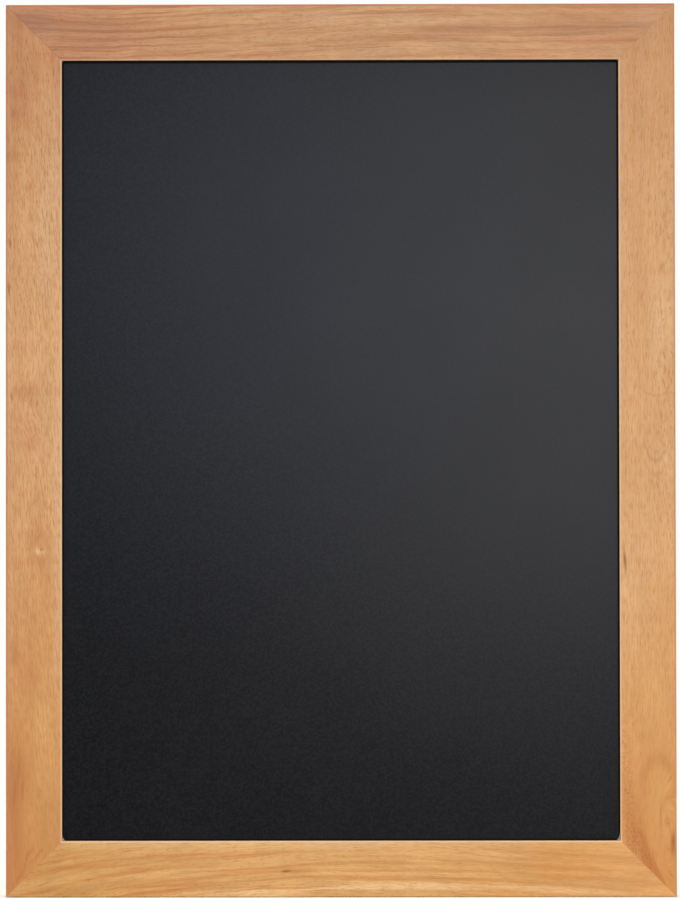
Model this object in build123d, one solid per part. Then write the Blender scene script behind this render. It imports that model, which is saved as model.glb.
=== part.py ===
from build123d import *
import math
import os

# Wall writing board, upright: X runs to the right, Z up, and the front faces -Y.
# The plane y = 0 is the wall that the hangers and bumpers rest against, in millimetres.

# Overall sizes of the frame
board_width = 600.0
board_height = 800.0
frame_thickness = 18.0
rail_face = 50.6  # width of wood seen from the front
outer_corner_round = 1.0
front_edge_round = 1.5
back_edge_round = 1.0

# Rebate that takes the panel from behind
lip_thickness = 3.0  # wood left in front of the panel
lip_overlap = 8.0  # how far the lip covers the panel's border
lip_edge_round = 0.8

# Panel: a black laminate on a hardboard core
laminate_thickness = 0.8
core_thickness = 3.2
panel_clearance = 1.0  # all round, between the panel's edge and the rebate's wall

# V-nails, driven across each mitre from the back
nails_per_corner = 2
nail_leg = 5.0
nail_tip = 1.6  # turned out at the end of each leg
nail_angle = 80.0  # between the legs
nail_thickness = 0.8
nail_depth = 12.0

# Flat framing points, driven into the rebate's wall behind the panel
points_per_stile = 4
points_per_rail = 3
point_width = 6.0
point_thickness = 0.6
point_driven = 7.0  # length inside the wood, tip included
point_tip = 4.0
point_reach = 9.0  # length that laps over the panel

# Hanger straps, one on each stile
hanger_drop = 100.0  # from the board's top edge to the barrel's axis
strap_width = 10.0
strap_thickness = 1.0
barrel_roll = 280.0  # degrees of strap rolled round the ring's bar

# Hanger rings of bent wire
wire_diameter = 2.4
bar_clearance = 0.06  # radial, between the bar and the barrel
wire_end_gap = 0.6  # between the wire's two ends, inside the barrel
ring_side_gap = 1.2  # from the strap's side to the start of the bend
ring_bend_radius = 2.6  # centreline, at the ends of the bar
ring_tip_radius = 2.8  # centreline, at the tip
ring_leg_lean = 18.0  # degrees from upright

# Pan head wood screws
screw_diameter = 3.5
screw_length = 12.0  # under the head
screw_point = 3.5
screw_head_diameter = 6.6
screw_head_height = 2.2
screw_head_round = 1.2
screw_cross_width = 1.0
screw_cross_span = 3.8
screw_cross_depth = 1.2
screw_hole_clearance = 0.25  # radial, in the strap
pilot_clearance = 0.05  # radial, in the wood
screw_barrel_gap = 1.6  # from the head to the barrel

# Rubber bumpers near the lower corners
bumper_diameter = 12.0
bumper_inset = 80.0  # from the board's side edge to the bumper's axis
bumper_edge_round = 1.4

# Sizes that follow from the driving ones
back_land = rail_face - lip_overlap
bar_radius = wire_diameter / 2
barrel_inner_radius = bar_radius + bar_clearance
barrel_outer_radius = barrel_inner_radius + strap_thickness
wall_gap = 2 * barrel_outer_radius

# Depths along Y, from the front of the wood to the back
back_y = -wall_gap
front_y = back_y - frame_thickness
lip_y = front_y + lip_thickness
core_front_y = lip_y + laminate_thickness
core_back_y = core_front_y + core_thickness

# Panel outline
panel_width = board_width - 2 * (back_land + panel_clearance)
panel_height = board_height - 2 * (back_land + panel_clearance)

# Hanger places
hanger_x = board_width / 2 - back_land / 2
hanger_y = back_y + barrel_outer_radius
hanger_z = board_height / 2 - hanger_drop
screw_drop = barrel_outer_radius + screw_barrel_gap + screw_head_diameter / 2

# Bumper places
bumper_x = board_width / 2 - bumper_inset
bumper_z = -board_height / 2 + back_land / 2

# Each rail is drawn on its own: X along it, outer edge at z = 0 and the panel towards +Z.
rail_places = {
    "bottom": Pos(0, 0, -board_height / 2),
    "top": Pos(0, 0, board_height / 2) * Rot(0, 180, 0),
    "left": Pos(-board_width / 2, 0, 0) * Rot(0, 90, 0),
    "right": Pos(board_width / 2, 0, 0) * Rot(0, -90, 0),
}
rail_lengths = {
    "bottom": board_width,
    "top": board_width,
    "left": board_height,
    "right": board_height,
}
point_counts = {
    "bottom": points_per_rail,
    "top": points_per_rail,
    "left": points_per_stile,
    "right": points_per_stile,
}
corner_signs = {
    "top_left": (-1, 1),
    "top_right": (1, 1),
    "bottom_left": (-1, -1),
    "bottom_right": (1, -1),
}


def through_frame(outline):
    """A prism over an outline drawn in the XZ plane, running past the frame's front and back."""
    return extrude(Plane.XZ * outline, 2 * (frame_thickness + wall_gap), both=True)


def rail_section():
    """The moulding's section in the YZ plane: a flat bar with a rebate at its inner back edge."""
    corners = [
        (front_y, 0),
        (front_y, rail_face),
        (lip_y, rail_face),
        (lip_y, back_land),
        (back_y, back_land),
        (back_y, 0),
    ]
    rounds = [front_edge_round, lip_edge_round, 0, 0, 0, back_edge_round]
    return make_face(Plane.YZ * FilletPolyline(*corners, radius=rounds, close=True))


def mitred_rail(length):
    """One length of moulding, cut at 45 degrees at both ends, with the frame's outer corners eased."""
    half = length / 2
    flat = half - outer_corner_round
    eased = outer_corner_round * (1 - math.sqrt(0.5))
    right_ease = RadiusArc((flat, 0), (half - eased, eased), -outer_corner_round)
    left_ease = RadiusArc((eased - half, eased), (-flat, 0), -outer_corner_round)
    mitres = Polyline(
        right_ease @ 1,
        (half - rail_face, rail_face),
        (rail_face - half, rail_face),
        left_ease @ 0,
    )
    outer_edge = Line((-flat, 0), (flat, 0))
    plan = make_face(outer_edge + right_ease + mitres + left_ease)
    bar = extrude(rail_section(), half, both=True)
    return bar & through_frame(plan)


def framing_point():
    """One flat steel point in the XZ plane: tip towards -Z, rounded tail, wall of the rebate at z = 0."""
    half = point_width / 2
    straight = point_reach - half
    shoulder = point_tip - point_driven
    sides = Polyline(
        (-half, straight),
        (-half, shoulder),
        (0, -point_driven),
        (half, shoulder),
        (half, straight),
    )
    tail = ThreePointArc((half, straight), (0, point_reach), (-half, straight))
    return extrude(Plane.XZ * make_face(sides + tail), -point_thickness)


def framing_points(side):
    """The row of points along one rail, evenly spaced along its rebate, against the core's back."""
    count = point_counts[side]
    span = rail_lengths[side] - 2 * back_land
    pitch = span / count
    point = framing_point()
    row = []
    for index in range(count):
        along = (index + 0.5) * pitch - span / 2
        row.append(rail_places[side] * Pos(along, core_back_y, back_land) * point)
    return row


def v_nail():
    """One V-nail in the XY plane, legs open towards +X with turned-out tips, driven along -Z from z = 0."""
    half_angle = math.radians(nail_angle / 2)
    across = nail_leg * math.sin(half_angle)
    along = nail_leg * math.cos(half_angle)
    centreline = Polyline(
        (along, across + nail_tip),
        (along, across),
        (0, 0),
        (along, -across),
        (along, -across - nail_tip),
    )
    return extrude(trace(centreline, nail_thickness), -nail_depth)


def corner_v_nails(x_sign, z_sign):
    """The V-nails of one corner, evenly spaced along its mitre, flush with the back of the frame."""
    nail = v_nail()
    pitch = back_land / (nails_per_corner + 1)
    outward = (x_sign, 0, z_sign)
    nails = []
    for index in range(nails_per_corner):
        inset = (index + 1) * pitch
        centre = (
            x_sign * (board_width / 2 - inset),
            back_y,
            z_sign * (board_height / 2 - inset),
        )
        nails.append(Plane(centre, x_dir=outward, z_dir=(0, 1, 0)) * nail)
    return nails


def screw_shank(clearance):
    """A screw's pointed shank along -Z from z = 0, made wider all round by the clearance."""
    radius = screw_diameter / 2 + clearance
    plain = screw_length - screw_point
    profile = Polyline((0, 0), (radius, 0), (radius, -plain), (0, -screw_length), close=True)
    return revolve(Plane.XZ * make_face(profile), Axis.Z)


def pan_head_screw():
    """A pan head screw with a cross recess, head above z = 0."""
    head = extrude(Circle(screw_head_diameter / 2), screw_head_height)
    rim = head.edges().group_by(Axis.Z)[-1]
    head = fillet(rim, screw_head_round)
    for angle in (0, 90):
        slot = Rot(0, 0, angle) * Rectangle(screw_cross_span, screw_cross_width)
        head -= Pos(0, 0, screw_head_height) * extrude(slot, -screw_cross_depth)
    return head + screw_shank(0)


def hanger_strap():
    """A strap rolled round the ring's bar, about the barrel's axis: the plate lies on the wood below it."""
    middle = barrel_inner_radius + strap_thickness / 2
    plate_end = screw_drop + strap_width / 2
    plate = Line((-middle, -plate_end), (-middle, 0))
    roll = CenterArc((0, 0), middle, 180, -barrel_roll)
    sheet = trace(plate + roll, strap_thickness)
    strap = extrude(Plane.YZ * sheet, strap_width / 2, both=True)
    tongue = Pos(0, -screw_drop) * Circle(strap_width / 2)
    tongue += Rectangle(strap_width, screw_drop, align=(Align.CENTER, Align.MAX))
    tongue += Rectangle(strap_width, barrel_outer_radius, align=(Align.CENTER, Align.MIN))
    tongue -= Pos(0, -screw_drop) * Circle(screw_diameter / 2 + screw_hole_clearance)
    return strap & extrude(Plane.XZ * tongue, barrel_outer_radius, both=True)


def hanger_ring():
    """A ring of bent wire about the barrel's axis, hanging down, its ends meeting inside the barrel."""
    lean = math.radians(ring_leg_lean)
    bend_run = ring_bend_radius / math.tan((math.pi / 2 - lean) / 2)
    half_base = strap_width / 2 + ring_side_gap + bend_run
    drop = half_base / math.tan(lean)
    end = wire_end_gap / 2
    path = Plane.XZ * FilletPolyline(
        (end, 0),
        (half_base, 0),
        (0, -drop),
        (-half_base, 0),
        (-end, 0),
        radius=[ring_bend_radius, ring_tip_radius, ring_bend_radius],
    )
    section = Plane(path @ 0, z_dir=path % 0) * Circle(bar_radius)
    return sweep(section, path=path)


def wall_bumper():
    """A round rubber bumper along +Z, as tall as the hanger, with a softened rim."""
    stud = extrude(Circle(bumper_diameter / 2), wall_gap)
    rim = stud.edges().group_by(Axis.Z)[-1]
    return fillet(rim, bumper_edge_round)


def build_frame(nodes):
    """The four rails with their nail slots, point slots and pilot holes, and what is driven into them."""
    nails = {corner: corner_v_nails(*signs) for corner, signs in corner_signs.items()}
    points = {side: framing_points(side) for side in rail_places}
    driven = [nail for row in nails.values() for nail in row]
    rail_names = {
        "bottom": "bottom_rail",
        "top": "top_rail",
        "left": "left_stile",
        "right": "right_stile",
    }
    for side, name in rail_names.items():
        rail = rail_places[side] * mitred_rail(rail_lengths[side])
        rail = rail - driven - points[side]
        if side in ("left", "right"):
            rail -= screw_place(side) * screw_shank(pilot_clearance)
        nodes[name] = rail
        nodes[f"{side}_framing_points"] = Compound(children=points[side])
    for corner, row in nails.items():
        nodes[f"{corner}_v_nails"] = Compound(children=row)


def build_panel(nodes):
    """The laminate against the back of the lip, and the core behind it."""
    outline = Plane.XZ * Rectangle(panel_width, panel_height)
    nodes["writing_surface"] = Pos(0, lip_y, 0) * extrude(outline, -laminate_thickness)
    nodes["panel_core"] = Pos(0, core_front_y, 0) * extrude(outline, -core_thickness)


def side_sign(side):
    """The direction along X in which a side of the board lies."""
    return -1 if side == "left" else 1


def hanger_place(side):
    """Where a hanger's barrel axis is, midway across the back of its stile."""
    return Pos(side_sign(side) * hanger_x, hanger_y, hanger_z)


def screw_place(side):
    """Where a hanger's screw head meets its strap, with the head towards the wall."""
    centre = (side_sign(side) * hanger_x, back_y + strap_thickness, hanger_z - screw_drop)
    return Plane(centre, x_dir=(1, 0, 0), z_dir=(0, 1, 0))


def build_hardware(nodes):
    """The hangers on the stiles and the bumpers on the bottom rail."""
    for side in ("left", "right"):
        nodes[f"{side}_hanger_strap"] = hanger_place(side) * hanger_strap()
        nodes[f"{side}_hanger_ring"] = hanger_place(side) * hanger_ring()
        nodes[f"{side}_hanger_screw"] = screw_place(side) * pan_head_screw()
        seat = Plane(
            (side_sign(side) * bumper_x, back_y, bumper_z),
            x_dir=(1, 0, 0),
            z_dir=(0, 1, 0),
        )
        nodes[f"{side}_wall_bumper"] = seat * wall_bumper()


def main():
    nodes = {}
    build_frame(nodes)
    build_panel(nodes)
    build_hardware(nodes)
    os.makedirs("parts", exist_ok=True)
    for name, shape in nodes.items():
        export_step(shape, f"parts/{name}.step")


main()
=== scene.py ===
import logging
import math
from dataclasses import dataclass
from enum import Enum

import bmesh
import bpy
from mathutils import Euler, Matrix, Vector


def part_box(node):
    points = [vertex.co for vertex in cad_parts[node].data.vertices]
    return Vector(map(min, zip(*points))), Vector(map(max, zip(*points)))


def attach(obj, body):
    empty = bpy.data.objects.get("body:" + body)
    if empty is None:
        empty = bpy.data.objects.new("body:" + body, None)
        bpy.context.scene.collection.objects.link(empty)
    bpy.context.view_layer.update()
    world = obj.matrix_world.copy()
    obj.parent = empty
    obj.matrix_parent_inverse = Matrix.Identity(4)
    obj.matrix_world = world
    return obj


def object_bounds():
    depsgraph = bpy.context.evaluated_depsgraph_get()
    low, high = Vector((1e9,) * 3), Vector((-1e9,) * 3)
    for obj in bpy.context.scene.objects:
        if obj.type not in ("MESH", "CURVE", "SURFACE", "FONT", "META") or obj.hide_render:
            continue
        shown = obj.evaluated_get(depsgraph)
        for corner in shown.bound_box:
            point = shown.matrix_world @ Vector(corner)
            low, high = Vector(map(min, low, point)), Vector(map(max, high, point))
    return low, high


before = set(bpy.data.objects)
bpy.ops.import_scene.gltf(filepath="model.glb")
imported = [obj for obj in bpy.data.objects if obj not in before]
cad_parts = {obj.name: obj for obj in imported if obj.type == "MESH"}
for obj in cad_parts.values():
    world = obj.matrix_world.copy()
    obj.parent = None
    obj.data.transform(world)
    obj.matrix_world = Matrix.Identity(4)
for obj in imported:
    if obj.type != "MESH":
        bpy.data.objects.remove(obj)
CAD_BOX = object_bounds()
LOG = logging.getLogger("writing_board")

# Lengths in this file are in millimetres, and MM turns them into the scene's metres.
MM = 0.001
Tree = bpy.types.NodeTree
Socket = bpy.types.NodeSocket
Input = float | tuple[float, ...] | Socket
Inputs = dict[int | str, Input]
Place = tuple[float, float]
Span = tuple[float, float]
Way = tuple[float, float, float]
Skin = tuple[Socket, Socket, Socket]

# What many nodes share: products, sums with a product, a blend of two colours, a ramp with soft ends, and
# the span that most of a noise lies in.
TIMES = {"operation": "MULTIPLY"}
TIMES_PLUS = {"operation": "MULTIPLY_ADD"}
BLEND = {"out": 2, "data_type": "RGBA"}
SMOOTH = {"interpolation_type": "SMOOTHSTEP"}
MOST = {1: 0.3, 2: 0.7}


@dataclass(frozen=True)
class BoardSizes:
    """The board's main sizes, as its solids have them, in millimetres."""

    half_width: float = CAD_BOX[1][0] / MM
    half_height: float = CAD_BOX[1][2] / MM
    half_sight_width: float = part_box("right_stile")[0][0] / MM
    half_sight_height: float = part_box("top_rail")[0][2] / MM
    sheet_front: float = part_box("writing_surface")[0][1] / MM


SIZES = BoardSizes()


def linear(colour: str) -> tuple[float, float, float, float]:
    """Turns an sRGB hex colour into linear light.

    Args:
        colour: six hex digits after a hash.

    Returns:
        Red, green and blue in linear light, and an alpha of one.
    """
    parts = [int(colour[i:i + 2], 16) / 255 for i in (1, 3, 5)]
    red, green, blue = (p / 12.92 if p <= 0.04045 else ((p + 0.055) / 1.055) ** 2.4 for p in parts)
    return red, green, blue, 1.0


def ends(span: Span, first: int = 1) -> Inputs:
    """Numbers the two ends of a span as a node's inputs, from the first of them on."""
    return {first: span[0], first + 1: span[1]}


def add_node(tree: Tree, kind: str, inputs: Inputs | None = None, out: int | str = 0,
             **options: object) -> Socket | None:
    """Adds one node to a tree, with its options, its values and the links into it.

    Args:
        tree: the tree that takes the node.
        kind: the node's Blender type, without the words that they all start with.
        inputs: a value or a socket to link from, for each input named or numbered.
        out: the output that is wanted from the node.
        options: the node's own settings.

    Returns:
        The output asked for, or None where the node has no outputs.
    """
    node = tree.nodes.new(f"ShaderNode{kind}")
    for name, value in options.items():
        setattr(node, name, value)
    for key, value in (inputs or {}).items():
        if isinstance(value, Socket):
            tree.links.new(value, node.inputs[key])
        else:
            node.inputs[key].default_value = value
    return node.outputs[out] if len(node.outputs) else None


def add_object(name: str, mesh: bmesh.types.BMesh, material: bpy.types.Material) -> bpy.types.Object:
    """Turns a mesh into an object of the scene.

    Args:
        name: the object's name.
        mesh: its mesh, which is freed.
        material: what it is made of.

    Returns:
        The object.
    """
    data = bpy.data.meshes.new(name)
    mesh.to_mesh(data)
    mesh.free()
    data.materials.append(material)
    made = bpy.data.objects.new(name, data)
    bpy.context.scene.collection.objects.link(made)
    return made


def dress(node: str, material: bpy.types.Material) -> None:
    """Gives a solid of the frame its material.

    Args:
        node: the solid's name.
        material: what it is given.
    """
    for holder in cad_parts[node].material_slots:
        holder.material = material
    LOG.info("dressed %s in %s", node, material.name)


class Grain(Enum):
    """The way that the fibres of a length of wood run in the frame."""

    ALONG_WIDTH = "x"
    ALONG_HEIGHT = "z"


@dataclass(frozen=True)
class Swell:
    """A place where the growth layers rise, so that the streaks bend round it."""

    place: Place
    along: float
    across: float
    lift: float
    turn: float = 0.0


@dataclass(frozen=True)
class Mark:
    """A knot, fleck, stained streak or ring, at a place right and up from the middle of the board.

    It reaches along and across the fibres and is turned by some degrees.
    """

    place: Place
    along: float
    across: float
    colour: str
    strength: float
    turn: float = 0.0
    softness: float = 1.0
    speckled: bool = False


@dataclass(frozen=True)
class PoreLayer:
    """Open vessels of one size, cut lengthwise into dashes."""

    spacing: Span
    share: float
    depth: float


@dataclass(frozen=True, kw_only=True)
class Finish:
    """A material, named for what it is and how its surface was made.

    Its optics name the shader's input that sets it apart from other materials, and the value there.
    """

    name: str
    relief: float
    relief_depth: float
    optics: tuple[str, float] = ("IOR", 1.5)

    def surface(self, tree: Tree) -> Skin:
        """Draws the colour, the roughness and the height of the surface."""
        raise NotImplementedError

    def material(self) -> bpy.types.Material:
        """Builds the material.

        Returns:
            The finished material.
        """
        made = bpy.data.materials.new(self.name)
        made.use_nodes = True
        tree = made.node_tree
        tree.nodes.clear()
        colour, gloss, height = self.surface(tree)
        normal = add_node(tree, "Bump", {"Height": height, "Strength": self.relief,
                                         "Distance": self.relief_depth * MM})
        trait, value = self.optics
        shader = add_node(tree, "BsdfPrincipled", {"Base Color": colour, "Roughness": gloss, "Normal": normal,
                                                   trait: value})
        add_node(tree, "OutputMaterial", {"Surface": shader})
        return made


@dataclass(frozen=True, kw_only=True)
class LacqueredRubberwood(Finish):
    """Rubberwood, planed, smoothed with abrasive paper and sprayed with a satin lacquer.

    The eye gets honey brown layers with soft darker streaks, short dark pores along the fibres and a low,
    even gloss, with a pale painted highlight on the inner arrises and painted shade on the outer arrises and
    on the inner walls of the lip. Ranges are shares of a pattern's height, between which something comes in.
    """

    grain: Grain
    outward: Way
    start: str
    body: str
    end: str
    streak: str
    pore: str
    seed: float
    figure: float
    mottle: float
    calm: Span
    layer_size: Span
    fibre_size: Span
    pores: tuple[PoreLayer, ...]
    swells: tuple[Swell, ...]
    marks: tuple[Mark, ...]
    arches: tuple[Mark, ...] = ()
    reaches: Span = (220.0, 220.0)
    patch_size: Span = (60.0, 17.0)
    patch_range: Span = (0.35, 0.65)
    layer_range: Span = (0.42, 0.70)
    fibre_range: Span = (0.36, 0.74)
    fibre_depth: float = 0.36
    lean: float = 0.0
    dip: float = 0.4
    wander: float = 5.0
    wander_size: Span = (190.0, 40.0)
    waver: float = 1.0
    waver_size: Span = (24.0, 9.0)
    feather: float = 6.0
    thin: float = 1.5
    uptake: Span = (0.55, 1.3)
    speck_size: Span = (2.4, 1.4)
    speck_range: Span = (0.55, 0.15)
    arch_fade: Span = (0.1, -0.9)
    crowding: float = 1.5
    dash_range: Span = (0.36, 0.10)
    pore_dulling: float = 0.12
    pore_sinking: float = 0.4
    satin: Span = (0.36, 0.46)
    satin_range: Span = (0.25, 0.75)
    relief: float = 0.30
    relief_depth: float = 0.08
    line_width: float = 0.9
    line_depth: float = 0.3
    # The pale tone and band of the inner arrises draw a painted highlight; the outer band and the dark tone
    # of the lip's inner walls draw painted shade.
    highlight_tone: str = "#f0cda2"
    highlight_band: Span = (2.2, 1.0)
    highlight_depth: float = 0.5
    outer_shade_band: Span = (2.4, 0.9)
    outer_shade_depth: float = 0.8
    wall_shade: str = "#17100b"
    wall_shade_turn: Span = (-0.62, -0.85)
    wall_shade_depth: float = 0.96
    band_reach: float = 1.0
    through: float = 1e6
    seed_step: float = 10.0

    @property
    def extent(self) -> Way:
        """Half of the outer length, and how far the outer and inner edges lie from the board's middle."""
        if self.grain is Grain.ALONG_WIDTH:
            return SIZES.half_width, SIZES.half_height, SIZES.half_sight_height
        return SIZES.half_height, SIZES.half_width, SIZES.half_sight_width

    def offset(self, tree: Tree, fibres: Socket, spot: Swell | Mark) -> Socket:
        """Measures how far each point lies from a spot, in the spot's own reaches.

        Args:
            tree: the material's tree.
            fibres: the point along, across and into the wood.
            spot: the place, reach and turn that are measured from.

        Returns:
            The offset along and across, one at the spot's reach.
        """
        right, up = spot.place
        middle = (right, up, 0.0) if self.grain is Grain.ALONG_WIDTH else (up, right, 0.0)
        return add_node(tree, "Mapping", {"Vector": fibres, "Location": middle,
                                          "Rotation": (0.0, 0.0, math.radians(spot.turn)),
                                          "Scale": (spot.along, spot.across, self.through)},
                        vector_type="TEXTURE")

    def hump(self, tree: Tree, fibres: Socket, spot: Swell | Mark) -> Socket:
        """Gives a smooth hump, one at a spot and nothing far from it.

        Args:
            tree: the material's tree.
            fibres: the point along, across and into the wood.
            spot: the place, reach and turn of the hump.

        Returns:
            The hump's height.
        """
        away = self.offset(tree, fibres, spot)
        squared = add_node(tree, "VectorMath", {0: away, 1: away}, out="Value", operation="DOT_PRODUCT")
        return add_node(tree, "Math", {0: math.exp(-1), 1: squared}, operation="POWER")

    def growth(self, tree: Tree, fibres: Socket) -> Socket:
        """Works out which growth layer each point lies in.

        Args:
            tree: the material's tree.
            fibres: the point along, across and into the wood, in millimetres.

        Returns:
            The point along the fibres and across the layers, in millimetres, and the board's own place in
            the patterns.
        """
        along, layer, inward = add_node(tree, "SeparateXYZ", {0: fibres}).node.outputs
        # The layers wander by a few millimetres over a hand's length and waver by about one over a
        # finger's width.
        for (length, width), sway in ((self.wander_size, self.wander), (self.waver_size, self.waver)):
            slow = add_node(tree, "VectorMath",
                            {0: fibres, 1: (1 / length, 1 / width, 1 / width), 2: (self.seed, 0.0, 0.0)},
                            **TIMES_PLUS)
            drift = add_node(tree, "TexNoise", {"Vector": slow, "Scale": 1.0, "Detail": 3.0}, out="Fac")
            layer = add_node(tree, "Math", {0: drift, 1: 2 * sway, 2: layer}, **TIMES_PLUS)
        # They dip into the wood, and lean across the face of a length that was sawn a little off the fibres.
        for distance, slope in ((inward, self.dip), (along, math.tan(math.radians(self.lean)))):
            layer = add_node(tree, "Math", {0: distance, 1: slope, 2: layer}, **TIMES_PLUS)
        for swell in self.swells:
            hump = self.hump(tree, fibres, swell)
            layer = add_node(tree, "Math", {0: hump, 1: swell.lift, 2: layer}, **TIMES_PLUS)
        return add_node(tree, "CombineXYZ", {0: along, 1: layer, 2: self.seed * self.seed_step})

    def weave(self, tree: Tree, grown: Socket, size: Span, detail: float, roughness: float) -> Socket:
        """Draws an uneven pattern along the growth layers.

        Args:
            tree: the material's tree.
            grown: the point along the fibres and across the layers.
            size: the pattern's length and width, in millimetres.
            detail: how many finer patterns lie in it.
            roughness: how strong the finer ones are.

        Returns:
            The pattern's height.
        """
        scaled = add_node(tree, "VectorMath", {0: grown, 1: (1 / size[0], 1 / size[1], 1.0)}, **TIMES)
        return add_node(tree, "TexNoise", {"Vector": scaled, "Scale": 1.0, "Detail": detail,
                                           "Roughness": roughness}, out="Fac")

    def tones(self, tree: Tree, along: Socket, patches: Socket) -> Socket:
        """Gives the broad colour, which changes towards both ends and in soft patches.

        Args:
            tree: the material's tree.
            along: the distance along the fibres.
            patches: how well the stain took.

        Returns:
            The colour.
        """
        half_length, _, _ = self.extent
        colour: Input = linear(self.body)
        for side, tone, reach in ((-1, self.start, self.reaches[0]), (1, self.end, self.reaches[1])):
            tip = side * half_length
            share = add_node(tree, "MapRange", {0: along, 1: tip - side * reach, 2: tip}, **SMOOTH)
            colour = add_node(tree, "Mix", {0: share, 6: colour, 7: linear(tone)}, **BLEND)
        lightness = add_node(tree, "MapRange", {0: patches, **ends(self.patch_range), 3: 1 - self.mottle,
                                                4: 1 + self.mottle}, **SMOOTH)
        return add_node(tree, "VectorMath", {0: colour, "Scale": lightness}, operation="SCALE")

    def stains(self, tree: Tree, fibres: Socket, layers: Socket, colour: Socket) -> Socket:
        """Lays the marks on the wood and draws the tips of its growth rings.

        Args:
            tree: the material's tree.
            fibres: the point along, across and into the wood, in millimetres.
            layers: how dark each growth layer is.
            colour: the wood's colour so far.

        Returns:
            The colour with its marks.
        """
        # All but the thinnest marks feather out along the layers, and take better in some than in others.
        uneven = add_node(tree, "MapRange", {0: layers, **MOST, **ends(self.uptake, 3)})
        shift = add_node(tree, "MapRange", {0: layers, 3: -self.feather, 4: self.feather})
        shift = add_node(tree, "CombineXYZ", {1: shift})
        feathered = add_node(tree, "VectorMath", {0: fibres, 1: shift}, operation="ADD")
        length, width = self.speck_size
        cells = add_node(tree, "VectorMath", {0: fibres, 1: (1 / length, 1 / width, 0.0)}, **TIMES)
        nearest = add_node(tree, "TexVoronoi", {"Vector": cells, "Scale": 1.0}, out="Distance")
        specks = add_node(tree, "MapRange", {0: nearest, **ends(self.speck_range)}, **SMOOTH)
        for mark in self.marks:
            hump = self.hump(tree, feathered if mark.across > self.thin else fibres, mark)
            low, high = 0.5 - mark.softness / 2, 0.5 + mark.softness / 2
            share = add_node(tree, "MapRange", {0: hump, 1: low, 2: high, 4: mark.strength}, **SMOOTH)
            share = add_node(tree, "Math", {0: share, 1: specks if mark.speckled else uneven},
                             operation="MULTIPLY", use_clamp=True)
            colour = add_node(tree, "Mix", {0: share, 6: colour, 7: linear(mark.colour)}, **BLEND)
        # A ring shows as a thin bow at one tip and fades along its sides.
        for arch in self.arches:
            away = self.offset(tree, feathered, arch)
            far = add_node(tree, "VectorMath", {0: away}, out="Value", operation="LENGTH")
            off = add_node(tree, "Math", {0: far, 1: 1.0}, operation="SUBTRACT")
            off = add_node(tree, "Math", {0: off}, operation="ABSOLUTE")
            bow = add_node(tree, "MapRange", {0: off, 1: arch.softness, 2: 0.0, 4: arch.strength}, **SMOOTH)
            tip = add_node(tree, "SeparateXYZ", {0: away})
            tip = add_node(tree, "MapRange", {0: tip, **ends(self.arch_fade)}, **SMOOTH)
            share = add_node(tree, "Math", {0: bow, 1: tip}, **TIMES)
            share = add_node(tree, "Math", {0: share, 1: uneven}, **TIMES)
            colour = add_node(tree, "Mix", {0: share, 6: colour, 7: linear(arch.colour)}, **BLEND)
        return colour

    def edges(self, tree: Tree, point: Socket, busy: Socket, colour: Socket) -> Socket:
        """Draws the mitre lines as painted shade in the seams, a painted highlight on the inner arrises, and
        painted shade on the outer arrises and on the inner walls of the lip.

        Args:
            tree: the material's tree.
            point: the place in the frame, in millimetres.
            busy: how lively the figure is.
            colour: the wood's colour so far.

        Returns:
            The colour with its edges.
        """
        # A thin darker line along each mitre is painted shade in the seam.
        sizes = add_node(tree, "VectorMath", {0: point}, operation="ABSOLUTE")
        wide, _, tall = add_node(tree, "SeparateXYZ", {0: sizes}).node.outputs
        off = add_node(tree, "Math", {0: wide, 1: tall}, operation="SUBTRACT")
        off = add_node(tree, "Math", {0: off, 1: SIZES.half_height - SIZES.half_width}, operation="ADD")
        off = add_node(tree, "Math", {0: off}, operation="ABSOLUTE")
        depth = add_node(tree, "Math", {0: busy, 1: self.line_depth}, **TIMES)
        line = add_node(tree, "MapRange", {0: off, 1: self.line_width, 2: 0.0, 4: depth}, **SMOOTH)
        colour = add_node(tree, "Mix", {0: line, 6: colour, 7: linear(self.pore)}, **BLEND)
        # At the front, outer arrises get painted shade, inner arrises a pale painted highlight, and the inner
        # walls of the lip, which face the middle, a dark painted shade.
        inward = add_node(tree, "SeparateXYZ", {0: point}, out=1)
        front = add_node(tree, "Math", {0: inward, 1: SIZES.sheet_front + self.band_reach},
                         operation="LESS_THAN")
        facing = add_node(tree, "NewGeometry", out="Normal")
        reach, turned = (add_node(tree, "VectorMath", {0: way, 1: self.outward}, out="Value",
                                  operation="DOT_PRODUCT") for way in (point, facing))
        _, outer, inner = self.extent
        shaded_outer = (outer - inset for inset in self.outer_shade_band)
        highlit = (inner + inset for inset in self.highlight_band)
        bands = ((reach, *shaded_outer, self.outer_shade_depth, self.streak),
                 (reach, *highlit, self.highlight_depth, self.highlight_tone),
                 (turned, *self.wall_shade_turn, self.wall_shade_depth, self.wall_shade))
        for measure, none, full, most, tone in bands:
            share = add_node(tree, "MapRange", {0: measure, 1: none, 2: full, 4: most}, **SMOOTH)
            share = add_node(tree, "Math", {0: share, 1: front}, **TIMES)
            colour = add_node(tree, "Mix", {0: share, 6: colour, 7: linear(tone)}, **BLEND)
        return colour

    def surface(self, tree: Tree) -> Skin:
        """Draws layers, fibres, pores and marks, and gives them colour, gloss and relief.

        Args:
            tree: the material's tree.

        Returns:
            The colour, the roughness and the height.
        """
        metres = add_node(tree, "TexCoord", out="Object")
        point = add_node(tree, "VectorMath", {0: metres, 1: (1 / MM,) * 3}, **TIMES)
        x, y, z = add_node(tree, "SeparateXYZ", {0: point}).node.outputs
        along, across = (x, z) if self.grain is Grain.ALONG_WIDTH else (z, x)
        fibres = add_node(tree, "CombineXYZ", {0: along, 1: across, 2: y})
        grown = self.growth(tree, fibres)

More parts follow.
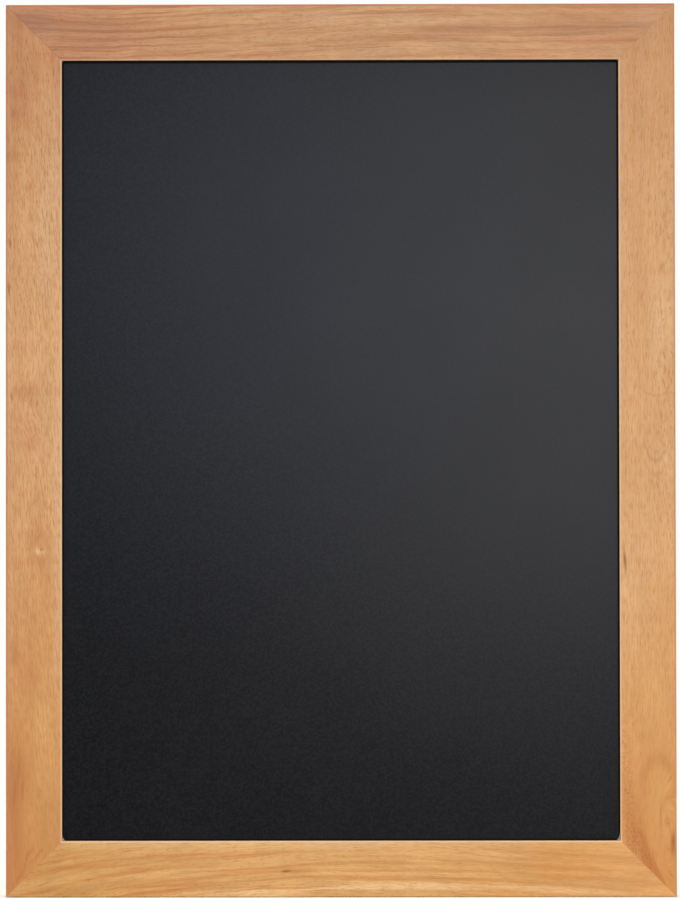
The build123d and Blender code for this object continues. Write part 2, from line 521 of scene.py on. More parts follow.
        # Broad tones change over a few centimetres, as the stain took unevenly. Streaks follow the growth
        # layers, a few millimetres wide and a hand long. Fibres are about a tenth of a millimetre wide, too
        # fine to show, so they are drawn fourteen times as wide.
        patches = self.weave(tree, grown, self.patch_size, 2.0, 0.5)
        layers = self.weave(tree, grown, self.layer_size, 3.0, 0.58)
        fibre = self.weave(tree, grown, self.fibre_size, 2.0, 0.6)
        colour = self.tones(tree, along, patches)
        half_length, _, _ = self.extent
        busy = add_node(tree, "MapRange", {0: along, 1: -half_length, 2: half_length, **ends(self.calm, 3)})
        figure = add_node(tree, "Math", {0: busy, 1: self.figure}, **TIMES)
        streaks = add_node(tree, "MapRange", {0: layers, **ends(self.layer_range), 4: figure}, **SMOOTH)
        colour = add_node(tree, "Mix", {0: streaks, 6: colour, 7: linear(self.streak)}, **BLEND)
        colour = self.stains(tree, fibres, layers, colour)
        strands = add_node(tree, "MapRange", {0: fibre, **ends(self.fibre_range), 4: self.fibre_depth},
                           **SMOOTH)
        colour = add_node(tree, "Mix", {0: strands, 6: colour, 7: linear(self.streak)}, **BLEND)

        # Each cell holds one pore at most. Pores crowd where the stain took well and thin out at a calm end.
        relief = fibre
        gloss = add_node(tree, "MapRange", {0: fibre, **ends(self.satin_range), **ends(self.satin, 3)})
        for pores in self.pores:
            length, width = pores.spacing
            cells = add_node(tree, "VectorMath", {0: grown, 1: (1 / length, 1 / width, 1.0)}, **TIMES)
            nearest = add_node(tree, "TexVoronoi", {"Vector": cells, "Scale": 1.0}, out="Distance")
            chance = add_node(tree, "SeparateXYZ", {0: nearest.node.outputs["Color"]})
            most = pores.share + self.crowding / 2
            crowd = add_node(tree, "Math", {0: patches, 1: -self.crowding, 2: most}, **TIMES_PLUS)
            there = add_node(tree, "Math", {0: chance, 1: crowd}, operation="LESS_THAN")
            dash = add_node(tree, "MapRange", {0: nearest, **ends(self.dash_range)}, **SMOOTH)
            shown = add_node(tree, "Math", {0: there, 1: dash}, **TIMES)
            shown = add_node(tree, "Math", {0: shown, 1: busy}, **TIMES)
            share = add_node(tree, "Math", {0: shown, 1: pores.depth}, **TIMES)
            colour = add_node(tree, "Mix", {0: share, 6: colour, 7: linear(self.pore)}, **BLEND)
            gloss = add_node(tree, "Math", {0: shown, 1: self.pore_dulling, 2: gloss}, **TIMES_PLUS)
            relief = add_node(tree, "Math", {0: shown, 1: -self.pore_sinking, 2: relief}, **TIMES_PLUS)
        return self.edges(tree, point, busy, colour), gloss, relief


@dataclass(frozen=True, kw_only=True)
class BlackLaminate(Finish):
    """High pressure laminate, pressed against a fine matt sheet.

    The eye gets a deep neutral black with a faint blue cast, a fine grit, and a wide soft sheen.
    """

    body: str = "#0b0b0d"
    grit: str = "#1a1a1d"
    # The rim colour and widths draw a painted shadow of the lip along the sheet's edges.
    rim: str = "#070302"
    grit_size: float = 1.9
    grit_range: Span = (0.35, 0.70)
    grit_dulling: float = 0.09
    cloud_size: float = 90.0
    satin: Span = (0.265, 0.285)
    rim_width: float = 1.9
    top_rim_width: float = 2.7
    rim_fade: float = 0.6
    rim_dulling: float = 0.66
    relief: float = 0.03
    relief_depth: float = 0.05
    optics: tuple[str, float] = ("IOR", 1.42)

    def surface(self, tree: Tree) -> Skin:
        """Gives the black its grit, its sheen and a painted shadow along the lip.

        Args:
            tree: the material's tree.

        Returns:
            The colour, the roughness and the height.
        """
        metres = add_node(tree, "TexCoord", out="Object")
        # The pressed grit is about a fifth of a millimetre, so it is drawn nine times as coarse to show.
        noises = ((self.grit_size, 1.0), (self.cloud_size, 2.0))
        grain, cloud = (add_node(tree, "TexNoise", {"Vector": metres, "Scale": 1 / (size * MM),
                                                    "Detail": detail}, out="Fac") for size, detail in noises)
        speck = add_node(tree, "MapRange", {0: grain, **ends(self.grit_range)}, **SMOOTH)
        colour = add_node(tree, "Mix", {0: speck, 6: linear(self.body), 7: linear(self.grit)}, **BLEND)
        # A dull brown black line along the lip is a painted shadow of the lip, widest under the top lip as if
        # lit from above, and less glossy there.
        right, _, up = add_node(tree, "SeparateXYZ", {0: metres}).node.outputs
        aside = add_node(tree, "Math", {0: right}, operation="ABSOLUTE")
        edges = ((aside, SIZES.half_sight_width, self.rim_width),
                 (up, SIZES.half_sight_height, self.top_rim_width),
                 (up, -SIZES.half_sight_height, -self.rim_width))
        sides, top, bottom = (
            add_node(tree, "MapRange",
                     {0: measure, 1: (edge - width) * MM, 2: (edge - self.rim_fade * width) * MM}, **SMOOTH)
            for measure, edge, width in edges)
        lip_shadow = add_node(tree, "Math", {0: top, 1: bottom}, operation="MAXIMUM")
        lip_shadow = add_node(tree, "Math", {0: lip_shadow, 1: sides}, operation="MAXIMUM")
        colour = add_node(tree, "Mix", {0: lip_shadow, 6: colour, 7: linear(self.rim)}, **BLEND)
        gloss = add_node(tree, "MapRange", {0: cloud, **MOST, **ends(self.satin, 3)})
        for pattern, dulling in ((grain, self.grit_dulling), (lip_shadow, self.rim_dulling)):
            gloss = add_node(tree, "Math", {0: pattern, 1: dulling, 2: gloss}, **TIMES_PLUS)
        return colour, gloss, grain


@dataclass(frozen=True, kw_only=True)
class SmoothHardboard(Finish):
    """Hardboard, hot pressed from wood fibre, with its smooth side out.

    The eye gets a dull warm brown with short pale and dark fibres lying every way.
    """

    body: str = "#7a573b"
    pale_fibre: str = "#a98560"
    dark_fibre: str = "#4e3524"
    swirl_size: float = 14.0
    swirl_range: Span = (0.35, 0.7)
    swirl_depth: float = 0.35
    fleck_size: float = 2.2
    pale_range: Span = (0.54, 0.72)
    pale_depth: float = 0.7
    dark_range: Span = (0.46, 0.28)
    dark_depth: float = 0.8
    satin: Span = (0.52, 0.68)
    relief: float = 0.25
    relief_depth: float = 0.06

    def surface(self, tree: Tree) -> Skin:
        """Lays a soft swirl and two sets of fibres over the brown.

        Args:
            tree: the material's tree.

        Returns:
            The colour, the roughness and the height.
        """
        metres = add_node(tree, "TexCoord", out="Object")
        swirl = add_node(tree, "TexNoise", {"Vector": metres, "Scale": 1 / (self.swirl_size * MM),
                                            "Detail": 3.0, "Distortion": 1.2}, out="Fac")
        fleck = add_node(tree, "TexNoise", {"Vector": metres, "Scale": 1 / (self.fleck_size * MM),
                                            "Detail": 4.0, "Roughness": 0.7, "Distortion": 2.0}, out="Fac")
        colour: Input = linear(self.body)
        for pattern, (low, high), depth, tone in (
                (swirl, self.swirl_range, self.swirl_depth, self.dark_fibre),
                (fleck, self.pale_range, self.pale_depth, self.pale_fibre),
                (fleck, self.dark_range, self.dark_depth, self.dark_fibre)):
            share = add_node(tree, "MapRange", {0: pattern, 1: low, 2: high, 4: depth})
            colour = add_node(tree, "Mix", {0: share, 6: colour, 7: linear(tone)}, **BLEND)
        gloss = add_node(tree, "MapRange", {0: fleck, **MOST, **ends(self.satin, 3)})
        return colour, gloss, fleck


@dataclass(frozen=True, kw_only=True)
class CloudedFinish(Finish):
    """A plain material with clouds in its tint and a fine grain in its gloss and relief."""

    body: str
    cloud: str
    satin: Span
    cloud_size: float
    cloud_range: Span
    grain_size: float
    grain_detail: float
    drawn: float

    def surface(self, tree: Tree) -> Skin:
        """Clouds the tint and grains the gloss.

        Args:
            tree: the material's tree.

        Returns:
            The colour, the roughness and the height.
        """
        metres = add_node(tree, "TexCoord", out="Object")
        cloud = add_node(tree, "TexNoise", {"Vector": metres, "Scale": 1 / (self.cloud_size * MM),
                                            "Detail": 3.0}, out="Fac")
        drawn = add_node(tree, "VectorMath", {0: metres, 1: (1.0, 1.0, self.drawn)}, **TIMES)
        grain = add_node(tree, "TexNoise", {"Vector": drawn, "Scale": 1 / (self.grain_size * MM),
                                            "Detail": self.grain_detail}, out="Fac")
        share = add_node(tree, "MapRange", {0: cloud, **ends(self.cloud_range)}, **SMOOTH)
        colour = add_node(tree, "Mix", {0: share, 6: linear(self.body), 7: linear(self.cloud)}, **BLEND)
        gloss = add_node(tree, "MapRange", {0: grain, **MOST, **ends(self.satin, 3)})
        return colour, gloss, grain


@dataclass(frozen=True, kw_only=True)
class PlainMetal(CloudedFinish):
    """Steel sheet or wire with a thin finish of its own.

    The eye gets a cool metal with faint clouds in its tint and fine lines from rubbing in its gloss.
    """

    cloud_size: float = 3.5
    cloud_range: Span = (0.35, 0.7)
    grain_size: float = 0.3
    grain_detail: float = 2.0
    drawn: float = 0.12
    relief: float = 0.12
    relief_depth: float = 0.02
    optics: tuple[str, float] = ("Metallic", 1.0)


@dataclass(frozen=True, kw_only=True)
class MouldedRubber(CloudedFinish):
    """Black rubber, moulded in a blasted tool.

    The eye gets a dull grey black with a little bloom, a fine even grain and no clear highlight.
    """

    body: str = "#1d1c1b"
    cloud: str = "#2c2a28"
    satin: Span = (0.62, 0.8)
    cloud_size: float = 4.0
    cloud_range: Span = (0.4, 0.75)
    grain_size: float = 0.5
    grain_detail: float = 2.0
    drawn: float = 1.0
    relief: float = 0.3
    relief_depth: float = 0.03
    optics: tuple[str, float] = ("IOR", 1.52)


@dataclass(frozen=True, kw_only=True)
class PooledLacquer(CloudedFinish):
    """Lacquer that ran into a corner and set there with sanding dust in it.

    The eye gets a small dull wedge, grey brown and a little glossy.
    """

    satin: Span = (0.25, 0.4)
    cloud_size: float = 1.2
    cloud_range: Span = (0.35, 0.7)
    grain_size: float = 1.2
    grain_detail: float = 3.0
    drawn: float = 1.0
    relief: float = 0.2
    relief_depth: float = 0.05
    optics: tuple[str, float] = ("IOR", 1.48)


@dataclass(frozen=True)
class HardwoodFrame:
    """The four mitred lengths of wood, each from its own board, with the marks listed for each."""

    coarse: PoreLayer = PoreLayer((26.0, 1.2), 0.36, 0.42)
    hairs: PoreLayer = PoreLayer((13.0, 1.15), 0.62, 0.55)
    fine: PoreLayer = PoreLayer((6.0, 1.05), 0.55, 0.45)
    lines: PoreLayer = PoreLayer((38.0, 1.1), 0.40, 0.45)
    top_marks: tuple[Mark, ...] = (
        Mark((-278, 383), 26, 14, "#a07a66", 0.42),
        Mark((-235, 377), 55, 9, "#a4765c", 0.36, -6),
        Mark((-212, 361), 34, 3.5, "#9a6450", 0.18, 4),
        Mark((200, 378), 85, 6, "#a8724e", 0.38),
        Mark((205, 372), 62, 1.9, "#9c6443", 0.40, 2),
        Mark((262, 380.5), 34, 2.4, "#96654b", 0.45, -3),
        Mark((250, 396.5), 60, 2.2, "#c47a50", 0.45),
        Mark((278, 386), 24, 12, "#cfa684", 0.35),
        Mark((-146, 375), 46, 17, "#b47c50", 0.22),
        Mark((225, 357), 50, 7, "#d6a678", 0.35),
        Mark((98, 384.5), 50, 3.2, "#e0b488", 0.50),
        Mark((100, 378), 50, 3.5, "#a8724e", 0.40),
        Mark((90, 369), 48, 6, "#b07c56", 0.30),
        Mark((-12, 367), 52, 7, "#b07a50", 0.26),
        Mark((-80, 378), 42, 3.5, "#b07c56", 0.40),
        Mark((-80, 370), 42, 4, "#dcae80", 0.20),
        Mark((-80, 364), 45, 1.6, "#a8724e", 0.40),
        Mark((-9, 388), 36, 7, "#dcb08a", 0.40),
        Mark((54, 387), 24, 7, "#dcb48e", 0.36),
        Mark((134, 387), 28, 7, "#b8825a", 0.24),
        Mark((-100, 367), 30, 9, "#b0784a", 0.30))
    bottom_marks: tuple[Mark, ...] = (
        Mark((-70, -352.5), 260, 5, "#ecca98", 0.38),
        Mark((-85, -397), 62, 4.8, "#f2cd96", 0.60),
        Mark((-175, -380.5), 55, 3, "#e8bd7c", 0.40, 3),
        Mark((60, -376.5), 110, 1.6, "#b5783a", 0.40),
        Mark((70, -383.5), 100, 1.3, "#b5783a", 0.40),
        Mark((-57, -393.5), 60, 2.6, "#f6d29a", 0.50, 3.5),
        Mark((58, -390.4), 90, 3.2, "#f6d29a", 0.72),
        Mark((150, -386), 42, 13, "#cc8e40", 0.30),
        Mark((190, -393), 75, 2.6, "#f6d29a", 0.45, -4),
        Mark((-49, -376.5), 4.5, 1.1, "#8a3a00", 0.85, 3),
        Mark((-40, -376), 12, 2.5, "#b27a3c", 0.35),
        Mark((-233, -372.5), 34, 2.2, "#b8743a", 0.50, 2),
        Mark((-125, -383), 42, 1.4, "#ad6c35", 0.45, 5),
        Mark((-150, -389), 38, 1.4, "#ad6c35", 0.40, 4),
        Mark((-255, -394), 28, 4.5, "#b4713e", 0.36, 5),
        Mark((-208, -366), 50, 11, "#c48a44", 0.24),
        Mark((-205, -385), 30, 7, "#bd7f3c", 0.20),
        Mark((-116, -391), 32, 7, "#bd8446", 0.35),
        Mark((105, -367), 34, 12, "#c98f48", 0.24),
        Mark((200, -369), 38, 19, "#c98430", 0.46))
    left_marks: tuple[Mark, ...] = (
        Mark((-267.4, -88), 22, 14, "#bf824e", 0.50),
        Mark((-267.4, -88.6), 9, 6, "#dda86c", 0.55),
        Mark((-268.8, -90.6), 3.4, 4.8, "#f0cc94", 0.65),
        Mark((-267.7, -88.8), 1.5, 1.5, "#a8672c", 0.85),
        Mark((-283, 40), 24, 11, "#c98458", 0.40),
        Mark((-281, 53), 6, 10, "#bd7850", 0.45),
        Mark((-282, 37), 8, 8, "#e4b886", 0.55),
        Mark((-277, 8), 16, 6, "#c47f58", 0.40, 8),
        Mark((-287, 325), 30, 10, "#bb7d55", 0.35),
        Mark((-289, 322), 7, 8, "#b5714e", 0.40, 20),
        Mark((-291, 301), 6, 8, "#b5714e", 0.40, 20),
        Mark((-293, 264), 6, 8, "#b97552", 0.40, 20),
        Mark((-255, 262), 45, 5, "#e2bd90", 0.40),
        Mark((-260, 305), 32, 8, "#dcae80", 0.38),
        Mark((-253, -80), 150, 6, "#ecc598", 0.42),
        Mark((-295, 245), 100, 7, "#b07548", 0.32),
        Mark((-290, 88), 24, 9, "#b57c50", 0.20),
        Mark((-290, -6), 22, 9, "#b57c50", 0.20),
        Mark((-291, 388), 15, 9, "#96694e", 0.35),
        Mark((-272, 268), 22, 9, "#e4b682", 0.32),
        Mark((-266, -145), 45, 14, "#cc8c48", 0.24),
        Mark((-294, -335), 85, 10, "#b4713c", 0.62),
        Mark((-262, -300), 65, 11, "#dcab6c", 0.45),
        Mark((-263, -338), 42, 10, "#b8803f", 0.42),
        Mark((-288, -293), 28, 7, "#b06a36", 0.35),
        Mark((-288.5, -288), 15, 1.1, "#9d5f2e", 0.45, 4),
        Mark((-284.5, -303), 12, 1, "#9d5f2e", 0.40, 5),
        Mark((-292, -309), 13, 1.2, "#9d5f2e", 0.40, 3),
        Mark((-281, -367), 12, 1.8, "#a8621e", 0.46, 28),
        Mark((-287, -381), 10, 1.8, "#a8621e", 0.42, 30),
        Mark((-271, -362), 9, 1.6, "#a8621e", 0.33, 38),
        Mark((-263, 195), 62, 10, "#e8c096", 0.40),
        Mark((-279, -202), 20, 8, "#b87440", 0.40),
        Mark((-267, -240), 24, 8, "#e4b676", 0.42),
        Mark((-291, -184), 14, 5, "#a9663a", 0.40),
        Mark((-296, 186), 5, 0.9, "#7c3a0c", 0.75),
        Mark((-297, 144), 6, 0.9, "#7c3a0c", 0.75),
        Mark((-294.5, 48), 3.5, 0.9, "#7c3a0c", 0.60))
    right_marks: tuple[Mark, ...] = (
        Mark((254.6, -102), 18, 1.5, "#b4600c", 0.60, -5),
        Mark((254.4, -101), 8.5, 1.3, "#6a2400", 1, -5, 0.8),
        Mark((255.5, -117), 16, 2.4, "#eec493", 0.35),
        Mark((286, 110), 45, 9, "#ecc496", 0.45),
        Mark((259, -130), 70, 8, "#ebc08a", 0.28),
        Mark((287, -155), 45, 11, "#cf9048", 0.20),
        Mark((265, -8), 18, 9, "#c98c54", 0.20),
        Mark((289, -8), 16, 7, "#ecc8a0", 0.25),
        Mark((281, -315), 60, 20, "#cb874c", 0.34),
        Mark((287, -314), 48, 12, "#d9a660", 0.50),
        Mark((263, -342), 52, 11.5, "#c28146", 0.70, -12, 0.7),
        Mark((271.5, -360), 33, 7.2, "#ba6c2c", 0.60, -21, 0.6),
        Mark((284, -380), 20, 3.8, "#b86e2e", 0.60, -28, 0.5),
        Mark((255, -310), 85, 9, "#9c5a2a", 0.55, -4, speckled=True),
        Mark((271, -362), 32, 7, "#994f20", 0.55, -21, speckled=True),
        Mark((294, -345), 30, 2, "#b0703a", 0.35, -10),
        Mark((298.5, -351.5), 10, 3.4, "#985628", 0.75),
        Mark((285.5, -331), 19, 1.3, "#b4722f", 0.40, 1))
    right_arches: tuple[Mark, ...] = (
        Mark((282.4, 62), 14, 14, "#b07545", 0.28, softness=0.14),
        Mark((282.4, 34.5), 45, 13.5, "#b07545", 0.36, softness=0.09),
        Mark((282.4, 35), 38, 11.5, "#b07545", 0.18, softness=0.08),
        Mark((282.4, 33), 56, 16.5, "#b07545", 0.18, softness=0.08),
        Mark((284, -322), 46, 18, "#b5743c", 0.38, 180, 0.28),
        Mark((293, -345), 33, 8.5, "#b5743c", 0.32, 180, 0.20))

    def finishes(self) -> dict[str, LacqueredRubberwood]:
        """Gives each length its own tones, streaks and marks.

        Returns:
            The finish for each length, by name.
        """
        # The line, highlight and outer shade depths below set how strong each length's painted seam shade,
        # painted highlight and painted edge shade are.
        top = LacqueredRubberwood(
            name="lacquered_rubberwood_top", grain=Grain.ALONG_WIDTH, outward=(0.0, 0.0, 1.0),
            start="#cb926a", body="#d8a775", end="#cf9868", streak="#b46a3b", pore="#9a5222", seed=3.1,
            figure=0.80, mottle=0.06, calm=(1.1, 0.5), layer_size=(190.0, 3.8), fibre_size=(11.0, 1.4),
            wander=6.0, waver=1.7, highlight_depth=0.30, pores=(self.coarse, self.fine), marks=self.top_marks,
            swells=(Swell((90, 375), 170, 90, -9), Swell((-205, 375), 75, 90, 6),
                    Swell((300, 375), 120, 90, -8)))
        bottom = LacqueredRubberwood(
            name="lacquered_rubberwood_bottom", grain=Grain.ALONG_WIDTH, outward=(0.0, 0.0, -1.0),
            start="#cfa05f", body="#dfac6b", end="#dca463", streak="#c5782c", pore="#b0620e", seed=7.7,
            figure=0.62, mottle=0.07, calm=(1.25, 0.5), layer_size=(220.0, 4.1), fibre_size=(11.0, 1.4),
            waver=1.4, line_depth=0.1, highlight_depth=0.62, outer_shade_depth=0.3,
            pores=(self.lines, self.coarse, self.fine), marks=self.bottom_marks,
            swells=(Swell((20, -375), 230, 90, -20), Swell((-300, -400), 70, 60, 16)))
        left = LacqueredRubberwood(
            name="lacquered_rubberwood_left", grain=Grain.ALONG_HEIGHT, outward=(-1.0, 0.0, 0.0),
            start="#cb8e50", body="#e2b07a", end="#cd9668", streak="#c0743a", pore="#ad5c12", seed=12.4,
            figure=0.22, mottle=0.045, calm=(0.4, 1.2), layer_size=(160.0, 5.0), fibre_size=(12.0, 1.4),
            fibre_depth=0.56, lean=4.0, reaches=(480.0, 230.0), pores=(self.hairs, self.fine),
            marks=self.left_marks,
            swells=(Swell((-267.4, -87.6), 9, 6, 5), Swell((-284, 36), 24, 11, 8)))
        right = LacqueredRubberwood(
            name="lacquered_rubberwood_right", grain=Grain.ALONG_HEIGHT, outward=(1.0, 0.0, 0.0),
            start="#d1924d", body="#deab74", end="#cf9b6d", streak="#ca803a", pore="#b06418", seed=21.9,
            figure=0.25, mottle=0.035, calm=(0.55, 1.1), layer_size=(260.0, 4.5), fibre_size=(12.0, 1.4),
            fibre_depth=0.50, wander=3.0, line_depth=0.08, reaches=(330.0, 230.0),
            pores=(self.hairs, self.fine), marks=self.right_marks, arches=self.right_arches,
            swells=(Swell((288.9, -345), 52, 9.5, 16), Swell((283, 130), 130, 13, 11)))
        return {"top_rail": top, "bottom_rail": bottom, "left_stile": left, "right_stile": right}

    def dress(self) -> None:
        """Dresses the four lengths."""
        for node, finish in self.finishes().items():
            dress(node, finish.material())


@dataclass(frozen=True)
class WritingPanel:
    """The black sheet and the board that stiffens it."""

    sheet: BlackLaminate = BlackLaminate(name="pressed_black_laminate")
    core: SmoothHardboard = SmoothHardboard(name="pressed_smooth_hardboard")

    def dress(self) -> None:
        """Dresses the sheet and its core."""
        dress("writing_surface", self.sheet.material())
        dress("panel_core", self.core.material())


@dataclass(frozen=True)
class Wedge:
    """The lacquer in one corner, with its reach along rail and stile and its height off the sheet."""

    name: str
    right: int
    up: int
    run: float
    climb: float
    height: float
    lacquer: PooledLacquer


@dataclass(frozen=True)
class CornerLacquer:
    """The lacquer that set in the inner corners of the frame, in front of the sheet."""

    sunk: float = 0.05
    hollow: float = 1.6
    rings: int = 6
    steps: int = 12
    pale: PooledLacquer = PooledLacquer(name="set_lacquer_with_sanding_dust", body="#b08e64", cloud="#d2b283")
    grey: PooledLacquer = PooledLacquer(name="set_lacquer_with_grey_dust", body="#7f725c", cloud="#988d75")
    wedges: tuple[Wedge, ...] = (
        Wedge("bottom_left_lacquer", -1, -1, 2.6, 5.6, 2.4, pale),
        Wedge("bottom_right_lacquer", 1, -1, 3.8, 9.0, 2.4, grey),
        Wedge("top_left_lacquer", -1, 1, 1.5, 1.5, 1.3, pale),
        Wedge("top_right_lacquer", 1, 1, 1.5, 1.5, 1.4, pale))

    def build(self, wedge: Wedge) -> bmesh.types.BMesh:
        """Builds one wedge with a hollow front between two lips.

        Args:
            wedge: its corner and sizes.

        Returns:
            The wedge's closed mesh.
        """
        mesh = bmesh.new()
        corner = Vector((wedge.right * (SIZES.half_sight_width + self.sunk), SIZES.sheet_front,
                         wedge.up * (SIZES.half_sight_height + self.sunk)))
        grids: list[list[list[bmesh.types.BMVert]]] = []
        for is_front in (True, False):
            rows = []
            for ring in range(1, self.rings + 1):
                share = ring / self.rings
                row = []
                for step in range(self.steps + 1):
                    turn = math.pi / 2 * step / self.steps
                    inward = wedge.run * (1 - math.cos(turn)) * share
                    along = wedge.climb * (1 - math.sin(turn)) * share
                    rise = wedge.height * (1 - share) ** self.hollow if is_front else -self.sunk
                    spot = corner + Vector((-wedge.right * inward, -rise, -wedge.up * along))
                    row.append(mesh.verts.new(spot * MM))
                rows.append(row)
            tip_rise = wedge.height if is_front else -self.sunk
            tip = mesh.verts.new((corner + Vector((0.0, -tip_rise, 0.0))) * MM)
            grids.append([[tip] * (self.steps + 1), *rows])
        for rows in grids:
            for near, far in zip(rows, rows[1:]):
                for step in range(self.steps):
                    quad = (near[step], near[step + 1], far[step + 1], far[step])
                    mesh.faces.new(list(dict.fromkeys(quad)))
        front, back = grids
        for step in range(self.steps):
            mesh.faces.new((front[-1][step], front[-1][step + 1], back[-1][step + 1], back[-1][step]))
        for edge in (0, self.steps):
            for ring in range(self.rings):
                side = (front[ring][edge], front[ring + 1][edge], back[ring + 1][edge], back[ring][edge])
                mesh.faces.new(side)
        bmesh.ops.recalc_face_normals(mesh, faces=mesh.faces)
        for face in mesh.faces:
            face.smooth = True
        return mesh

    def place(self) -> None:
        """Builds the four wedges and dresses them."""
        materials = {lacquer: lacquer.material() for lacquer in (self.pale, self.grey)}
        for wedge in self.wedges:
            piece = add_object(wedge.name, self.build(wedge), materials[wedge.lacquer])
            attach(piece, "board")
            LOG.info("built %s", wedge.name)


@dataclass(frozen=True)
class FrameFasteners:
    """The V-nails across the mitres and the points that hold the panel in."""

    steel: PlainMetal = PlainMetal(name="blued_spring_steel", body="#3d434b", cloud="#4f4f57",
                                   satin=(0.30, 0.42))

    def dress(self) -> None:
        """Dresses the nails and the points."""
        blued = self.steel.material()
        for corner in ("top_left", "top_right", "bottom_left", "bottom_right"):
            dress(f"{corner}_v_nails", blued)
        for side in ("top", "bottom", "left", "right"):
            dress(f"{side}_framing_points", blued)


@dataclass(frozen=True)
class RingHanger:
    """A rolled strap with its screw and the wire ring that swings in it."""

    side: str
    plating: PlainMetal = PlainMetal(name="zinc_plated_steel", body="#c3c6c8", cloud="#cfcdc2",
                                     satin=(0.24, 0.38))

    def dress(self) -> None:
        """Dresses strap, ring and screw."""
        plated = self.plating.material()
        for piece in ("strap", "ring", "screw"):
            dress(f"{self.side}_hanger_{piece}", plated)


@dataclass(frozen=True)
class WallBumpers:
    """The two rubber bumpers at the lower corners of the back."""

    rubber: MouldedRubber = MouldedRubber(name="moulded_black_rubber")

    def dress(self) -> None:
        """Dresses both bumpers."""
        moulded = self.rubber.material()
        for side in ("left", "right"):
            dress(f"{side}_wall_bumper", moulded)


@dataclass(frozen=True)
class Softbox:
    """A square of cloth with a lamp behind it."""

    name: str
    place: Way
    aim: Way
    width: float
    height: float
    watts: float
    tint: str

    def build(self) -> None:
        """Hangs the lamp and points it."""
        lamp = bpy.data.lights.new(self.name, "AREA")
        lamp.shape = "RECTANGLE"
        lamp.size = self.width * MM
        lamp.size_y = self.height * MM
        lamp.energy = self.watts
        lamp.color = linear(self.tint)[:3]
        holder = bpy.data.objects.new(self.name, lamp)
        holder.location = Vector(self.place) * MM
        holder.rotation_euler = (Vector(self.aim) - Vector(self.place)).to_track_quat("-Z", "Y").to_euler()
        holder.visible_camera = False
        bpy.context.scene.collection.objects.link(holder)
        LOG.info("hung %s", self.name)


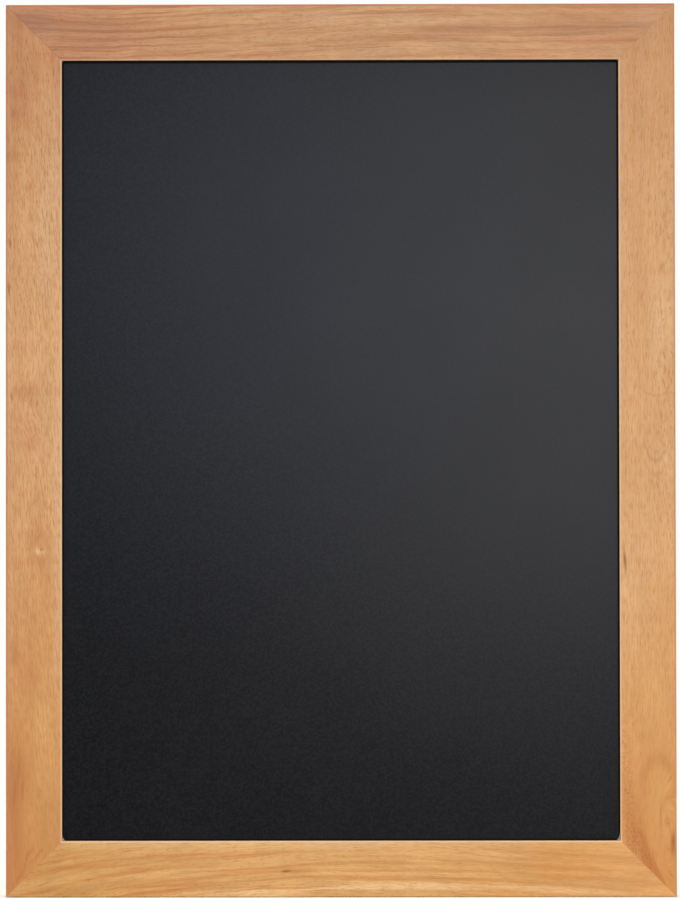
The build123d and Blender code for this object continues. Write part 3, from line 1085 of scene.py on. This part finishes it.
@dataclass(frozen=True)
class Studio:
    """A white room, dark behind the camera, with a pale floor under the board."""

    floor_height: float = CAD_BOX[0][2] / MM
    floor_reach: Span = (1500.0, 1100.0)
    floor_fade: Span = (0.25, 1.0)
    floor_rings: int = 24
    floor_steps: int = 96
    floor_tones: tuple[str, str] = ("#e6e5e2", "#eeedea")
    floor_grains_per_metre: float = 60.0
    room_tint: str = "#ffffff"
    room_light: float = 1.55
    low_to_high: Span = (0.55, 1.35)
    dark_light: float = 0.05
    dark_cone: Span = (0.55, 0.85)
    wall_light: float = 0.5
    wall_cone: Span = (-0.8, 0.0)
    windows: tuple[Softbox, ...] = (
        Softbox("right_window", (496.0, -2600.0, 285.0), (496.0, 0.0, 285.0), 912.0, 1175.0, 8.6, "#fbfbff"),
        Softbox("left_window", (-125.0, -2600.0, 430.0), (-125.0, 0.0, 430.0), 641.0, 735.0, 3.6, "#d8e2ff"))

    def build_floor(self) -> None:
        """Lays a pale round floor that fades out at its rim."""
        mesh = bmesh.new()
        rings = []
        for ring in range(1, self.floor_rings + 1):
            share = ring / self.floor_rings
            row = []
            for step in range(self.floor_steps):
                turn = 2 * math.pi * step / self.floor_steps
                spot = Vector((self.floor_reach[0] * share * math.cos(turn),
                               self.floor_reach[1] * share * math.sin(turn), self.floor_height))
                row.append(mesh.verts.new(spot * MM))
            rings.append(row)
        mesh.faces.new(rings[0])
        for inner, outer in zip(rings, rings[1:]):
            for step in range(self.floor_steps):
                after = (step + 1) % self.floor_steps
                mesh.faces.new((inner[step], outer[step], outer[after], inner[after]))
        floor = add_object("floor", mesh, self.floor_paint())
        floor.visible_glossy = False
        LOG.info("laid floor")

    def floor_paint(self) -> bpy.types.Material:
        """Paints the floor pale and lets its rim fade.

        Returns:
            The floor's material.
        """
        made = bpy.data.materials.new("pale_matt_floor")
        made.use_nodes = True
        tree = made.node_tree
        tree.nodes.clear()
        metres = add_node(tree, "TexCoord", out="Object")
        wide, deep = self.floor_reach
        scaled = add_node(tree, "VectorMath", {0: metres, 1: (1 / (wide * MM), 1 / (deep * MM), 0.0)},
                          **TIMES)
        out = add_node(tree, "VectorMath", {0: scaled}, out="Value", operation="LENGTH")
        fade = add_node(tree, "MapRange", {0: out, **ends(self.floor_fade)}, **SMOOTH)
        grain = add_node(tree, "TexNoise", {"Vector": metres, "Scale": self.floor_grains_per_metre,
                                            "Detail": 3.0}, out="Fac")
        dull, pale = (linear(tone) for tone in self.floor_tones)
        colour = add_node(tree, "Mix", {0: grain, 6: dull, 7: pale}, **BLEND)
        matt = add_node(tree, "BsdfDiffuse", {"Color": colour})
        clear = add_node(tree, "BsdfTransparent")
        mixed = add_node(tree, "MixShader", {0: fade, 1: matt, 2: clear})
        add_node(tree, "OutputMaterial", {"Surface": mixed})
        return made

    def build_room(self) -> None:
        """Lights the scene from a white room that is dark behind the camera."""
        world = bpy.data.worlds.new("white_room")
        world.use_nodes = True
        tree = world.node_tree
        tree.nodes.clear()
        way = add_node(tree, "TexCoord", out="Generated")
        behind = add_node(tree, "VectorMath", {0: way, 1: (0.0, -1.0, 0.0)}, out="Value",
                          operation="DOT_PRODUCT")
        dark = add_node(tree, "MapRange", {0: behind, **ends(self.dark_cone)}, **SMOOTH)
        upward = add_node(tree, "SeparateXYZ", {0: way}, out=2)
        low, high = (share * self.room_light for share in self.low_to_high)
        sky = add_node(tree, "MapRange", {0: upward, 1: -1.0, 2: 1.0, 3: low, 4: high})
        wall = add_node(tree, "MapRange", {0: behind, **ends(self.wall_cone), 3: self.wall_light}, **SMOOTH)
        sky = add_node(tree, "Math", {0: sky, 1: wall}, **TIMES)
        glow = add_node(tree, "Mix", {0: dark, 2: sky, 3: self.dark_light}, data_type="FLOAT")
        seen = add_node(tree, "LightPath", out="Is Camera Ray")
        glow = add_node(tree, "Mix", {0: seen, 2: glow, 3: 1.0}, data_type="FLOAT")
        light = add_node(tree, "Background", {"Color": linear(self.room_tint), "Strength": glow})
        add_node(tree, "OutputWorld", {"Surface": light})
        bpy.context.scene.world = world
        LOG.info("lit room")

    def build(self) -> None:
        """Builds floor, room and windows."""
        self.build_floor()
        self.build_room()
        for window in self.windows:
            window.build()


@dataclass(frozen=True)
class PhotoCamera:
    """A camera square on to the board, a little below its middle."""

    place: Way = (16.0, -2600.0, -31.9)
    pitch: float = 0.724
    roll: float = -0.095
    yaw: float = 0.365
    lens: float = 115.44
    sensor: float = 36.0
    reach: float = 100000.0

    def build(self) -> None:
        """Sets up the camera and makes it the scene's own."""
        data = bpy.data.cameras.new("photo_camera")
        data.sensor_fit = "AUTO"
        data.sensor_width = self.sensor
        data.lens = self.lens
        data.clip_end = self.reach * MM
        holder = bpy.data.objects.new("photo_camera", data)
        holder.location = Vector(self.place) * MM
        aimed = Euler((math.radians(90 + self.pitch), 0.0, math.radians(self.yaw))).to_matrix()
        rolled = Euler((0.0, 0.0, math.radians(self.roll))).to_matrix()
        holder.rotation_euler = (aimed @ rolled).to_euler()
        bpy.context.scene.collection.objects.link(holder)
        bpy.context.scene.camera = holder
        LOG.info("set camera")


def main() -> None:
    """Builds the board's finishes and pieces, then the studio and the camera."""
    logging.basicConfig(level=logging.INFO, format="%(name)s: %(message)s")
    HardwoodFrame().dress()
    WritingPanel().dress()
    CornerLacquer().place()
    FrameFasteners().dress()
    for side in ("left", "right"):
        RingHanger(side).dress()
    WallBumpers().dress()
    Studio().build()
    PhotoCamera().build()
    bpy.context.scene.view_settings.view_transform = "Standard"


if __name__ == "__main__":
    main()
